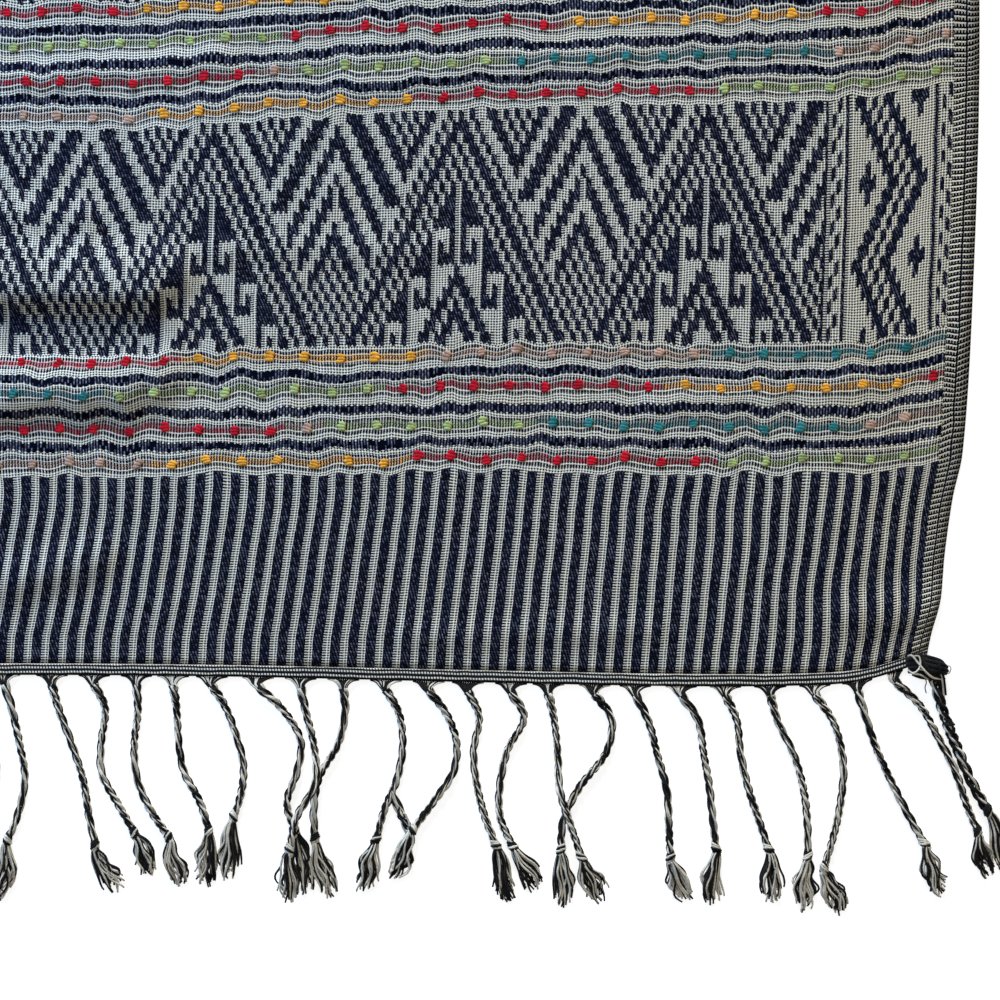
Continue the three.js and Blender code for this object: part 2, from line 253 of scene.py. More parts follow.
def lift(s, t):
    """How high the folds and creases hold up the cloth at a place."""
    height = 0.0
    for fold in FOLDS + CREASES:
        along = Vector((fold["s1"] - fold["s0"], fold["t1"] - fold["t0"]))
        start = Vector((s - fold["s0"], t - fold["t0"]))
        held = min(1.0, max(0.0, start.dot(along) / along.length_squared))
        away = (start - along * held).length
        if away < fold["half"]:
            height += fold["height"] * math.cos(math.pi / 2 * away / fold["half"]) ** 2
    return height


# Small waves that every weft thread shares with its neighbours, and the puckers they raise.
WAVE_ACROSS = 12.5
WAVE_ALONG = 26.0
WAVE_IN_DOTS = 3.4
WAVE_IN_FIGURES = 1.5
WAVE_IN_STRIPES = 0.75
WAVE_FADE = 8                 # one size of wave passes into the next over this length
WAVE_SIDEWAYS = 0.3           # the part of a wave that also moves threads sideways
PUCKER_SIZE = 1.1
CALM_FROM_HEM = 3             # waves grow from nothing over this many hem depths
CALM_FROM_SELVAGE = 6


def wave(s, t, seed=0.0):
    return noise.noise(Vector((s / WAVE_ACROSS, t / WAVE_ALONG, seed)))


def wave_size(t):
    """The thin weft of the dotted bands waves more than the rest."""
    if t < HEM + STRIPE_BAND - WAVE_FADE:
        return WAVE_IN_STRIPES
    along = (t - HEM - STRIPE_BAND) % BAND_REPEAT
    from_dots = 0 if along < DOT_BAND else min(along - DOT_BAND, BAND_REPEAT - along)
    dotted = max(0.0, 1 - from_dots / WAVE_FADE)
    return WAVE_IN_FIGURES + (WAVE_IN_DOTS - WAVE_IN_FIGURES) * dotted


def lay(s, t, height=0.0, waves=1.0):
    """A place on the flat cloth, and a height in it, as a point of the laid cloth in metres."""
    row = Row.at(t)
    x = s - row.lean - row.right * near_selvage(s) + row.left * near_selvage(-s)
    y = t + follow(row.across, "s", "rise", s)
    calm = min(1.0, max(0.0, min(t, LENGTH - t) / HEM - 1) / CALM_FROM_HEM,
               max(0.0, WIDTH / 2 - abs(s)) / CALM_FROM_SELVAGE) * waves
    x -= follow(row.drift, "s", "sideways", s) * waves
    y += follow(row.drift, "s", "along", s) * waves
    size = wave_size(t) * calm
    y += size * wave(s, t)
    x += WAVE_SIDEWAYS * size * wave(t, s, 7.0)
    z = lift(s, t) + height + PUCKER_SIZE * max(0.0, wave(s, t, 3.0)) * calm
    return Vector((x - MIDDLE_X, y - MIDDLE_Y, z)) * MM


# ---- Numbers that vary over a surface, as arithmetic on shader nodes ------------------------


def feed(tree, place, value):
    """Links a number or a socket to a node's input, or writes a plain value there."""
    if isinstance(value, Number):
        value = value.socket
    if isinstance(value, bpy.types.NodeSocket):
        tree.links.new(value, place)
    else:
        place.default_value = value


def operation(name, swapped=False):
    """A method of Number that works out one step of arithmetic."""
    def method(self, *others):
        return self.math(name, *others, swapped=swapped)
    return method


class Number:
    def __init__(self, tree, socket):
        self.tree = tree
        self.socket = socket

    def math(self, name, *others, swapped=False):
        node = self.tree.nodes.new("ShaderNodeMath")
        node.operation = name
        values = (*others, self) if swapped else (self, *others)
        for place, value in zip(node.inputs, values):
            feed(self.tree, place, value)
        return Number(self.tree, node.outputs[0])

    __add__ = __radd__ = operation("ADD")
    __sub__ = operation("SUBTRACT")
    __rsub__ = operation("SUBTRACT", swapped=True)
    __mul__ = operation("MULTIPLY")
    __truediv__ = operation("DIVIDE")
    exponent_of = operation("POWER", swapped=True)
    floor = operation("FLOOR")
    fraction = operation("FRACT")
    size = operation("ABSOLUTE")
    mod = operation("FLOORED_MODULO")
    pingpong = operation("PINGPONG")
    below = operation("LESS_THAN")
    above = operation("GREATER_THAN")
    least = operation("MINIMUM")
    most = operation("MAXIMUM")

    def between(self, low, high):
        return self.above(low) * self.below(high)

    def equals(self, value):
        """1 where this is a whole number and the same as value."""
        return self.math("COMPARE", value, 0.25)

    def ramp(self, low, high):
        """0 at low, 1 at high, and smooth between."""
        node = self.tree.nodes.new("ShaderNodeMapRange")
        node.interpolation_type = "SMOOTHSTEP"
        for place, value in zip(("Value", "From Min", "From Max"), (self, low, high)):
            feed(self.tree, node.inputs[place], value)
        return Number(self.tree, node.outputs["Result"])

    def select(self, when_one, when_zero):
        """when_one where this is 1, when_zero where it is 0."""
        node = self.tree.nodes.new("ShaderNodeMix")
        node.data_type = "FLOAT"
        for place, value in zip(("Factor", "A", "B"), (self, when_zero, when_one)):
            feed(self.tree, node.inputs[place], value)
        return Number(self.tree, node.outputs["Result"])


def blend_colours(factor, low, high):
    """A colour between two; each is a socket or a colour."""
    node = factor.tree.nodes.new("ShaderNodeMix")
    node.data_type = "RGBA"
    feed(factor.tree, node.inputs["Factor"], factor)
    for place, colour in ((node.inputs[6], low), (node.inputs[7], high)):
        plain = not isinstance(colour, bpy.types.NodeSocket)
        feed(factor.tree, place, (*colour, 1) if plain else colour)
    return node.outputs[2]


def new_material(name, roughness, sheen, specular):
    material = bpy.data.materials.new(name)
    material.use_nodes = True
    tree = material.node_tree
    shader = tree.nodes["Principled BSDF"]
    shader.inputs["Roughness"].default_value = roughness
    shader.inputs["Sheen Weight"].default_value = sheen
    shader.inputs["Sheen Roughness"].default_value = 0.5
    shader.inputs["Specular IOR Level"].default_value = specular
    return material, tree, shader


def add_bump(tree, shader, height, strength, depth):
    bump = tree.nodes.new("ShaderNodeBump")
    bump.inputs["Strength"].default_value = strength
    bump.inputs["Distance"].default_value = depth * MM
    tree.links.new(height.socket, bump.inputs["Height"])
    tree.links.new(bump.outputs["Normal"], shader.inputs["Normal"])


def cloth_places(tree):
    """The flat places s and t that a point of the cloth came from."""
    attribute = tree.nodes.new("ShaderNodeAttribute")
    attribute.attribute_name = "flat"
    split = tree.nodes.new("ShaderNodeSeparateXYZ")
    tree.links.new(attribute.outputs["Vector"], split.inputs[0])
    return Number(tree, split.outputs["X"]), Number(tree, split.outputs["Y"])


def joined(tree, *numbers):
    node = tree.nodes.new("ShaderNodeCombineXYZ")
    for place, number in zip(node.inputs, numbers):
        feed(tree, place, number)
    return node.outputs[0]


def uneven(tree, place, scale, detail=2.0):
    """Soft noise from 0 to 1 over a place."""
    node = tree.nodes.new("ShaderNodeTexNoise")
    node.inputs["Scale"].default_value = scale
    node.inputs["Detail"].default_value = detail
    tree.links.new(place, node.inputs["Vector"])
    return Number(tree, node.outputs["Fac"])


def chance(tree, *numbers):
    """A number from 0 to 1 that is drawn anew for each set of whole numbers."""
    node = tree.nodes.new("ShaderNodeTexWhiteNoise")
    node.noise_dimensions = "3D"
    tree.links.new(joined(tree, *numbers), node.inputs["Vector"])
    return Number(tree, node.outputs["Value"])


# ---- The weave -----------------------------------------------------------------------------

# Half of one figure, from the middle of a diamond to the middle of a hook, top row first.
# A dark cell is two warp threads wide and a row of picks high.
FIGURE_ROWS = [
    "..###..##.#.#.#.##..#.#",
    "#..###..##.#.#.##..#.##",
    "##..###..##.#.##..#.##.",
    ".##..###..##.##..#.##.#",
    "..##..###..###..#.##.#.",
    "#..##..###..#..#.##.#.#",
    ".#..##..###...#.##.#.#.",
    ".##..##..###.#.##.#.##.",
    "..##..##....#.##.#.###.",
    "#..##..##..#.##.#.####.",
    "##..##..#.#.##.#.#...#.",
    ".##..##..#.##.#.##.#.#.",
    "#.##..#.#.##.#.###.###.",
    ".#.##..#.##.#.####....#",
    "#.#.#.#.##.#.#...#...##",
    ".#.#.#.##.#.##.#.#..##.",
    "#.#.#.##.#.###.###.##.#",
    ".#.#.##.#.####....##.##",
    "#.#.##.#.#...#...##.##.",
    ".#.##.#.##.#.#..##.##..",
]
THREADS_MIDDLE = 4.3          # the middle of the figures, from the middle of the sheet
CELL_WIDTH = 3.034
CELL_HEIGHT = FIGURE_BAND / len(FIGURE_ROWS)
HALF_FIGURE = CELL_WIDTH * (len(FIGURE_ROWS[0]) - 1)
FIGURE_WARP = CELL_WIDTH / 2
STRIPE_PERIOD = 9.52          # from one warp stripe to the next
PLAIN_WARP = STRIPE_PERIOD / 6
PICKS_PER_CELL = 4.5
PICK = CELL_HEIGHT / PICKS_PER_CELL
WHITE_SWELLS = 0.05           # white cells crowd their dark neighbours by this on each side
ROW_TEETH = 1.0               # cells start and end this much earlier or later on each warp
THREADS_WANDER = 0.5          # a thread strays by half of this to each side of its place
THREAD_SIDE = (0.14, 0.30)    # where a thread's side falls off, from its middle, in its widths

# The border beside each selvage. Its first three places are from the middle of the cloth, and
# those that follow are outward from BORDER_START.
FIGURES_END = 268
SELVAGE_START = 336.5
BORDER_START = 268.5
BORDER_ROWS = 18
GUARD_LINES = ((-0.9, 0.9), (10.2, 12.0), (57.8, 59.6))
GUARD_COMBS = ((0.9, 2.4), (12.0, 13.4), (59.6, 61.0))
ODD_CELLS = (4.1, 62.8)       # cells that toggle, in odd rows and in even rows
EVEN_CELLS = (7.2, 66.3)
HALF_TOGGLE = 1.15
FIELD_START = 12.2
FIELD_END = 57.6
FIELD_CELL = 3.03
ZIGZAG_ROWS = 12
LEFT_DIAMOND = 3              # the columns of the small diamonds' middles
RIGHT_DIAMOND = 12
DIAMOND_SIZE = 1.25

STRIPE_COMB = 1.7             # where the comb at a stripe's side ends, and then its white
STRIPE_WHITE = 4.05

# Lines of the dotted band, by the height of their middle above its near edge.
COLOUR_LINES = (7.0, 25.4, 45.7, 63.6)
NAVY_LINES = (15.7, 34.1, 53.6)
DASH_ABOVE = 2.9
DASH_BELOW = 3.3
HALF_DASH_ABOVE = 0.8
HALF_DASH_BELOW = 0.65
HALF_LINE = 1.15
NAVY_HALF = 2.4
NET_LIGHT = 0.52              # how much white one thread of the net gets by itself; a lone thread is painted darker than a crossing, as painted shade
NET_LIGHT_IN_DOTS = 0.06      # and how much more in the loose dotted bands
TICK_LEAN = 0.36              # how far ticks lean from pick to pick, in warp threads

# The selvage: rungs and ticks, in places outward from its start.
RUNG_PITCH = 2.85
TICK_PITCH = 1.6
SELVAGE_GROOVE = 6.6
HALF_GROOVE = 0.5

WHITE_YARN = (0.75, 0.735, 0.61)
WARM_YARN = (0.76, 0.685, 0.49)
NAVY_YARN = (0.0010, 0.0013, 0.0036)
BLUE_YARN = (0.003, 0.006, 0.020)
TICK_YARN = (0.20, 0.21, 0.28)
SLUB_COLOURS = dict(
    red=(0.50, 0.010, 0.022),
    orange=(0.80, 0.36, 0.04),
    beige=(0.50, 0.32, 0.23),
    teal=(0.030, 0.18, 0.18),
    lime=(0.36, 0.44, 0.16),
)
SLUB_SHADE = 0.4              # how much of its colour a slub keeps in its darkest streaks
# The colour of each coloured line from the left selvage on, and where the next one starts.
COLOUR_RUNS = [
    [("beige", -92), ("orange", 48), ("red", 215), ("lime", None)],
    [("red", -19), ("beige", 1), ("lime", 117), ("teal", 293), ("beige", None)],
    [("teal", -118), ("lime", 34), ("red", 185), ("orange", 321), ("red", None)],
    [("red", -76), ("orange", 57), ("beige", 210), ("teal", None)],
]
RUN_SHIFTS = (6, 21, 60, 30)  # how much sooner they start in every second band


def any_of(parts):
    """1 where any of the parts is 1."""
    whole = parts[0]
    for part in parts[1:]:
        whole = whole.most(part)
    return whole


def figure_codes():
    """Each row of the figure as one whole number, a bit for each cell."""
    return [sum(1 << n for n, cell in enumerate(row) if cell == "#") for row in FIGURE_ROWS]


class WeavePlace:
    """Where a point lies: in which band, and between which threads."""

    def __init__(self, tree):
        self.tree = tree
        s, t = cloth_places(tree)
        self.flat = joined(tree, s, t, 0.0)
        s = s + (uneven(tree, self.flat, 0.5) - 0.5) * THREADS_WANDER
        t = t + (uneven(tree, joined(tree, t, s, 4.0), 0.5) - 0.5) * THREADS_WANDER
        self.s = s
        self.t = t
        self.along = t - (HEM + STRIPE_BAND)
        self.band = self.along.mod(BAND_REPEAT)
        self.from_middle = s.size()

        in_bands = self.along.between(0, REPEATS * BAND_REPEAT + DOT_BAND)
        self.in_figures = self.band.above(DOT_BAND) * in_bands
        self.in_dots = in_bands - self.in_figures
        self.in_stripes = 1 - in_bands
        self.in_selvage = self.from_middle.above(SELVAGE_START)
        self.in_border = (self.from_middle.between(FIGURES_END, SELVAGE_START)
                          * self.in_figures)

        self.place = s - THREADS_MIDDLE
        self.warp = self.place / self.in_figures.select(FIGURE_WARP, PLAIN_WARP)
        self.pick = t / PICK
        warp_index = self.warp.floor()
        self.pick_index = self.pick.floor()
        odd_warp = warp_index.mod(2)
        self.odd = (warp_index + self.pick_index).mod(2)
        self.across = self.warp.fraction()
        self.from_warp = (self.across - 0.5).size()
        self.from_pick = (self.pick.fraction() - 0.5).size()
        self.luck = chance(tree, warp_index, (self.pick_index / 2).floor(), 1.0)
        self.warp_luck = chance(tree, warp_index, 5.0, 2.0)
        self.tooth = (odd_warp * 2 - 1) * (1 - self.from_warp * 2) * (0.5 + self.luck) * ROW_TEETH


def figures(at):
    """Dark cells of the figures, and the half step of comb at each cell's left side."""
    row = ((BAND_REPEAT - at.band + at.tooth) / CELL_HEIGHT).floor()
    code = None
    for index, bits in enumerate(figure_codes()):
        here = row.equals(index) * float(bits)
        code = here if code is None else code + here

    def cell_at(place):
        column = (place.pingpong(HALF_FIGURE) / CELL_WIDTH + 0.5).floor()
        return (code / column.exponent_of(2.0)).floor().mod(2)

    dark = cell_at(at.place - WHITE_SWELLS) * cell_at(at.place + WHITE_SWELLS)
    comb = cell_at(at.place - WHITE_SWELLS - FIGURE_WARP * 0.8) * (1 - dark)
    return dark, comb


def border(at):
    """Guard lines, toggling cells, and a zigzag between small diamonds."""
    row = ((BAND_REPEAT - at.band + at.tooth) / (FIGURE_BAND / BORDER_ROWS)).floor()
    edge = at.from_middle - BORDER_START
    combs = any_of([edge.between(*limits) for limits in GUARD_COMBS])
    guards = any_of([edge.between(*limits) for limits in GUARD_LINES])
    toggles = row.mod(2).select(
        any_of([(edge - middle).size().below(HALF_TOGGLE) for middle in ODD_CELLS]),
        any_of([(edge - middle).size().below(HALF_TOGGLE) for middle in EVEN_CELLS]))
    column = ((edge - FIELD_START) / FIELD_CELL).floor()
    phase = row.mod(ZIGZAG_ROWS)
    from_turn = (phase - ZIGZAG_ROWS / 2).size()
    step = column - 1 - (ZIGZAG_ROWS / 2 - from_turn)
    zigzag = any_of([step.equals(0), step.equals(1), step.equals(3), step.between(4.5, 6.5)])
    left = (from_turn + (column - LEFT_DIAMOND).size()).below(DIAMOND_SIZE)
    right = phase.least(ZIGZAG_ROWS - phase) + (column - RIGHT_DIAMOND).size()
    field = any_of([zigzag, left, right.below(DIAMOND_SIZE)])
    dark = any_of([guards, toggles, edge.between(FIELD_START, FIELD_END) * field])
    return dark, combs * (1 - dark)


def dotted_band(at, net_with_painted_shade):
    """White of the dotted band, and how near a point lies to a coloured line."""
    to_lines = [at.band - middle for middle in COLOUR_LINES]
    dashes = any_of([(away - DASH_ABOVE).size().below(HALF_DASH_ABOVE)
                     .most((away + DASH_BELOW).size().below(HALF_DASH_BELOW))
                     for away in to_lines])
    middles = any_of([away.size().below(HALF_LINE) for away in to_lines])
    near_line = any_of([1 - away.size().ramp(1.1, 2.2) for away in to_lines])
    navy = any_of([(at.band - middle + at.tooth * 0.5).size().below(NAVY_HALF)
                   for middle in NAVY_LINES])
    standing = (1 - at.from_warp.ramp(0.03, 0.22)) * (0.25 + at.luck * 0.6)
    leaning = 1 - (at.across - 0.35 - at.pick.fraction() * 0.3).size().ramp(0.12, 0.30)
    coloured = leaning * (0.45 + at.luck * 0.55)
    white = navy.select(0.0, dashes.select(standing, middles.select(coloured, net_with_painted_shade)))
    return white, near_line


def ticks(at):
    """Ticks where a white thread shows through the dark."""
    leaning = at.warp + at.pick * TICK_LEAN
    stroke = 1 - (leaning.fraction() - 0.5).size().ramp(0.06, 0.36)
    luck = chance(at.tree, leaning.floor(), at.pick_index, 8.0)
    tick = stroke * (1 - at.from_pick.ramp(0.20, 0.5) * 0.7) * (luck * luck * 0.62 + 0.03)
    in_navy = (1 - at.from_warp.ramp(0.05, 0.3)) * at.luck.above(0.3) * (0.35 + at.odd * 0.5)
    return at.in_dots.select(in_navy, tick) * (1 - at.in_selvage)


def selvage(at):
    """Two narrow columns of white rungs with short ticks below each, painted darker towards the outer
    edge as shade where the edge curves down.
    """
    outward = at.from_middle - SELVAGE_START
    rung = 1 - (at.t / RUNG_PITCH).fraction()
    teeth = ((outward / TICK_PITCH).fraction() - 0.5).size().below(0.17)
    white = rung.below(0.25).most(teeth * rung.below(0.70) * 0.5)
    white = white * (outward - SELVAGE_GROOVE).size().above(HALF_GROOVE)
    # Painted shade: the whites fade to half over the outer part of the selvage.
    return white * (1 - outward.ramp(5.0, 13.0) * 0.5)


def line_colour(at):
    """The colour of the nearest coloured line at this place across the cloth."""
    moved = (at.along / BAND_REPEAT).floor().mod(2)
    colour = None
    for middle, run, shift in zip(COLOUR_LINES, COLOUR_RUNS, RUN_SHIFTS):
        place = at.s + moved * shift
        line = SLUB_COLOURS[run[0][0]]
        for (name, _), (_, start) in zip(run[1:], run):
            line = blend_colours(place.above(start), line, SLUB_COLOURS[name])
        here = (at.band - middle).size().below(4.0)
        colour = line if colour is None else blend_colours(here, colour, line)
    return colour


def weave_of(tree, wrong_side):
    """Colour and height of the doubled weave, over the flat cloth."""
    at = WeavePlace(tree)
    figure_dark, figure_comb = figures(at)
    border_dark, border_comb = border(at)
    in_stripe = at.place.mod(STRIPE_PERIOD)
    dark = at.in_stripes.select(in_stripe.above(STRIPE_WHITE),
                                at.in_border.select(border_dark, figure_dark * at.in_figures))
    comb = at.in_stripes.select(in_stripe.below(STRIPE_COMB),
                                at.in_border.select(border_comb, figure_comb * at.in_figures))
    if wrong_side:
        dark = 1 - dark
        comb = comb * 0.0

    # The doubled net: round warp and weft threads, with dark gaps where the back layer shows; painted
    # shade makes a lone thread about half as white as a crossing.
    warp_thread = 1 - at.from_warp.ramp(*THREAD_SIDE)
    weft_thread = 1 - at.from_pick.ramp(*THREAD_SIDE)
    threads = warp_thread + weft_thread
    # Painted shade: a lone thread keeps only part of its white, a crossing all of it.
    net_with_painted_shade = (threads * (at.in_dots * NET_LIGHT_IN_DOTS + NET_LIGHT)).least(1.0)
    white = dark.select(0.0, comb.select(weft_thread * 0.7, net_with_painted_shade))
    dotted, near_line = dotted_band(at, net_with_painted_shade)
    white = at.in_selvage.select(selvage(at) * 0.8, at.in_dots.select(dotted, white))

    patchy = uneven(tree, at.flat, 0.03, 3.0)
    fibre = uneven(tree, at.flat, 2.2, 3.0)
    warmth = (at.from_middle.ramp(250, 300) * 0.6).most(patchy.ramp(0.45, 0.8) * 0.6)
    yarn = blend_colours(warmth, WHITE_YARN, WARM_YARN)
    tint = near_line * at.in_dots * (1 - at.in_selvage) * (0.55 + at.luck * 0.45)
    yarn = blend_colours(tint, yarn, line_colour(at))
    dark_yarn = blend_colours(ticks(at), NAVY_YARN, TICK_YARN)
    dark_yarn = blend_colours(patchy.ramp(0.3, 0.7) * 0.35, dark_yarn, BLUE_YARN)
    white = white * (0.80 + fibre * 0.2 + at.warp_luck * 0.12)
    return blend_colours(white, dark_yarn, yarn), threads


def weave_material(name, wrong_side):
    material, tree, shader = new_material(name, roughness=0.9, sheen=0.0, specular=0.02)
    colour, height = weave_of(tree, wrong_side)
    tree.links.new(colour, shader.inputs["Base Color"])
    add_bump(tree, shader, height, 0.5, 0.35)
    return material


HEM_DASH_PITCH = 1.61
HEM_DASH_LEAN = 0.15
HEM_LINES = ((6.3, 0.38), (4.3, 0.5), (1.8, 0.5))    # from the edge, and half their width
HEM_BLACKS = ((0.002, 0.002, 0.004), (0.012, 0.012, 0.017))


def hem_material():
    """Black, with three lines of white dashes along the hem."""
    material, tree, shader = new_material("hem_weave", roughness=0.9, sheen=0.0, specular=0.02)
    s, t = cloth_places(tree)
    flat = joined(tree, s, t, 0.0)
    from_edge = t.least(LENGTH - t) + (uneven(tree, flat, 0.25) - 0.5) * 0.5
    from_edge = from_edge + (uneven(tree, flat, 0.045) - 0.5) * 1.6
    dash = ((s / HEM_DASH_PITCH + from_edge * HEM_DASH_LEAN).fraction() - 0.5).size()
    white = any_of([1 - ((from_edge - middle).size() / half).ramp(0.6, 1.35)
                    for middle, half in HEM_LINES])
    white = white * (1 - dash.ramp(0.18, 0.36) * 0.92)
    in_selvage = s.size().above(SELVAGE_START)
    white = white * (1 - in_selvage * 0.3) * (0.55 + uneven(tree, flat, 0.12) * 0.5)
    fibre = uneven(tree, flat, 2.2, 3.0)
    colour = blend_colours(white, blend_colours(fibre, *HEM_BLACKS), WHITE_YARN)
    tree.links.new(colour, shader.inputs["Base Color"])
    add_bump(tree, shader, white + fibre * 0.2, 0.6, 0.4)
    return material


COARSE_STREAKS = 180
FINE_STREAKS = 1600


def yarn_material(name, low, high):
    """Spun cotton: two shades in fine streaks."""
    material, tree, shader = new_material(name, roughness=0.8, sheen=0.03, specular=0.04)
    place = tree.nodes.new("ShaderNodeTexCoord").outputs["Object"]
    coarse = uneven(tree, place, COARSE_STREAKS, 2.0)
    fine = uneven(tree, place, FINE_STREAKS, 3.0)
    colour = blend_colours((coarse * 0.6 + fine * 0.4).ramp(0.3, 0.7), low, high)
    tree.links.new(colour, shader.inputs["Base Color"])
    add_bump(tree, shader, fine, 0.5, 0.2)
    return material


# ---- Cloth and hems ------------------------------------------------------------------------

CLOTH_THICKNESS = 1.2
HEM_CELL = 1.3
FINE_CELL = 4.0               # of the mesh where the cloth is seen from near, and
COARSE_CELL = 10.0            # beyond these two places
FINE_FROM_S = -205
FINE_TO_T = 400


def stepped(stretches):
    """Places from one end to the other, each stretch cut into steps of about its own size."""
    places = [stretches[0][0]]
    for start, end, step in stretches:
        count = max(1, round((end - start) / step))
        places += [start + (end - start) * (i + 1) / count for i in range(count)]
    return places


def sheet_mesh(name, across, along, top, thickness, materials, waves=1.0):
    """A laid sheet through lines across and along, with its flat places kept as an attribute."""
    sheet = bmesh.new()
    bmesh.ops.create_grid(sheet, x_segments=len(across) - 1, y_segments=len(along) - 1, size=0.5)
    flat = sheet.verts.layers.float_vector.new("flat")
    for vert in sheet.verts:
        s = across[round((vert.co.x + 0.5) * (len(across) - 1))]
        t = along[round((vert.co.y + 0.5) * (len(along) - 1))]
        vert[flat] = Vector((s, t, 0))
        vert.co = lay(s, t, top, waves)
    for face in sheet.faces:
        face.smooth = True
    piece = placed(name, mesh_of(name, sheet, materials))
    solid = piece.modifiers.new("thickness", "SOLIDIFY")
    solid.thickness = thickness * MM
    solid.offset = -1
    solid.use_even_offset = False
    solid.material_offset = len(materials) - 1
    return piece


def make_web(materials):
    across = stepped([(-WIDTH / 2, FINE_FROM_S, COARSE_CELL), (FINE_FROM_S, WIDTH / 2, FINE_CELL)])
    along = stepped([(HEM, FINE_TO_T, FINE_CELL), (FINE_TO_T, LENGTH - HEM, COARSE_CELL)])
    return sheet_mesh("woven_cloth", across, along, WALL, CLOTH_THICKNESS, materials)


def make_hem(name, start, end, material):
    across = stepped([(-WIDTH / 2, WIDTH / 2, FINE_CELL)])
    along = stepped([(start, end, HEM_CELL)])
    return sheet_mesh(name, across, along, HEM_WALL, HEM_WALL - GAP, [material], waves=0.0)


# ---- Threads -------------------------------------------------------------------------------

CAP_SEAM = 2e-7               # metres; a thread's end caps are closed onto its tube


def thread_piece(name, threads, materials, sides=4):
    """Threads, each a list of points with a radius at each and a material, as one mesh."""
    joined_threads = bmesh.new()
    for index in range(len(materials)):
        data = bpy.data.curves.new(name, "CURVE")
        data.dimensions = "3D"
        data.bevel_depth = 1.0
        data.bevel_resolution = max(0, (sides - 4) // 2)
        data.use_fill_caps = True
        for points, radii, material in threads:
            if material != index:
                continue
            spline = data.splines.new("POLY")
            spline.points.add(len(points) - 1)
            spline.points.foreach_set("co", [n for p in points for n in (*p, 1.0)])
            spline.points.foreach_set("radius", radii)
        source = placed(name + "_lines", data)
        shape = source.evaluated_get(bpy.context.evaluated_depsgraph_get())
        tubes = bpy.data.meshes.new_from_object(shape)
        before = len(joined_threads.faces)
        joined_threads.from_mesh(tubes)
        joined_threads.faces.ensure_lookup_table()
        for face in joined_threads.faces[before:]:
            face.material_index = index
            face.smooth = True
        bpy.data.objects.remove(source)
        bpy.data.meshes.remove(tubes)
    bmesh.ops.remove_doubles(joined_threads, verts=joined_threads.verts, dist=CAP_SEAM)
    return placed(name, mesh_of(name, joined_threads, materials))


# One row for each cord: root, its place across the hem; drop, from the hem to its knot;
# a to e, how far it has swayed towards +X at each fifth of that drop; tip and reach, where its
# tuft ends, from the knot.
CORDS = table("root drop a b c d e tip reach", [
    (-157.8, 91, 4, 8, 11, 8, 1, -3, 31),
    (-131.8, 94, 4, 11, 17, 20, 24, 12, 23),
    (-108.8, 87, 6, 4, 4, 13, 23, 8, 22),
    (-85.8, 89, 1, -1, 0, 7, 19, 5, 25),
    (-65.8, 86, 2, 3, 6, 15, 20, -3, 28),
    (-44.8, 78, 7, 13, 17, 16, 11, -2, 32),
    (-19.8, 85, 13, 23, 21, 15.5, 21, 6, 33),
    (3.2, 94, 3, 7.5, 8, -2, -6, 1, 27),
    (26.2, 88, 1, -3, -13, -16, -15, 9, 30),
    (49.2, 88, 7, 9, 6, -1, -6, -6, 28),
    (72.2, 82, 9, 15, 13, 2, -10, -10, 26),
    (93.2, 90, 6, 3, 4.5, 9, 16, 5, 29),
    (116.2, 90, 7, -2, -6, -6, 2, 13, 22),
    (136.2, 95, 3, 5, 6, 12, 18.5, 9, 23),
    (161.2, 91, 9, 6, -8, -17, -18.5, 2, 29),
    (183.2, 95, 7, 12, 17, 18, 19, 9, 22),
    (208.2, 90, 9, 12, 15, 17, 19, -3, 28),
    (232.2, 90, 6, 8, 12, 18, 24, 1, 27),
    (256, 94, 4, 13, 18, 20, 20, -2, 28),
    (280, 101, 10, 15, 14, 10, 4, 10, 23),
    (303.5, 89, 4, 10, 18, 27, 37, 8, 27),
    (327, 88, 13, 23, 32, 38, 45, 6, 23),
    (355, 82, 2, 7, 13.5, 20.5, 30, 11, 33),
])
# What sets a few of them apart, by their row: over, the fifth from which a cord lies on its
# neighbour; fan, half the width of its root where that isn't FAN_HALF_WIDTH; thick, times the
# common thickness; knob, how far down it a second knot sits.
SPECIAL_CORDS = {
    7: dict(over=3),
    13: dict(over=3),
    21: dict(fan=4),
    22: dict(fan=2, thick=1.4, knob=0.36),
}
for row_index, special in SPECIAL_CORDS.items():
    CORDS[row_index].update(special)

FIFTHS = "abcde"
PLAIN_ROWS = [5, 16, 4, 18, 15, 17, 2, 3]


def plain_row(index):
    """Rows that lie clear of their neighbours, taken in turn, there and back."""
    swing = 2 * (len(PLAIN_ROWS) - 1)
    step = index % swing
    return CORDS[PLAIN_ROWS[min(step, swing - step)]]


def near_cords():
    hidden = CORDS_PER_END - len(CORDS)
    first = CORDS[0]["root"]
    return CORDS + [{**plain_row(i), "root": first - (i + 1) * CORD_PITCH} for i in range(hidden)]


def far_cords():
    first = -CORD_PITCH * (CORDS_PER_END - 1) / 2
    return [{**plain_row(i), "root": first + i * CORD_PITCH} for i in range(CORDS_PER_END)]


CURVE_STEPS = 16              # between two of the points that a curve runs through


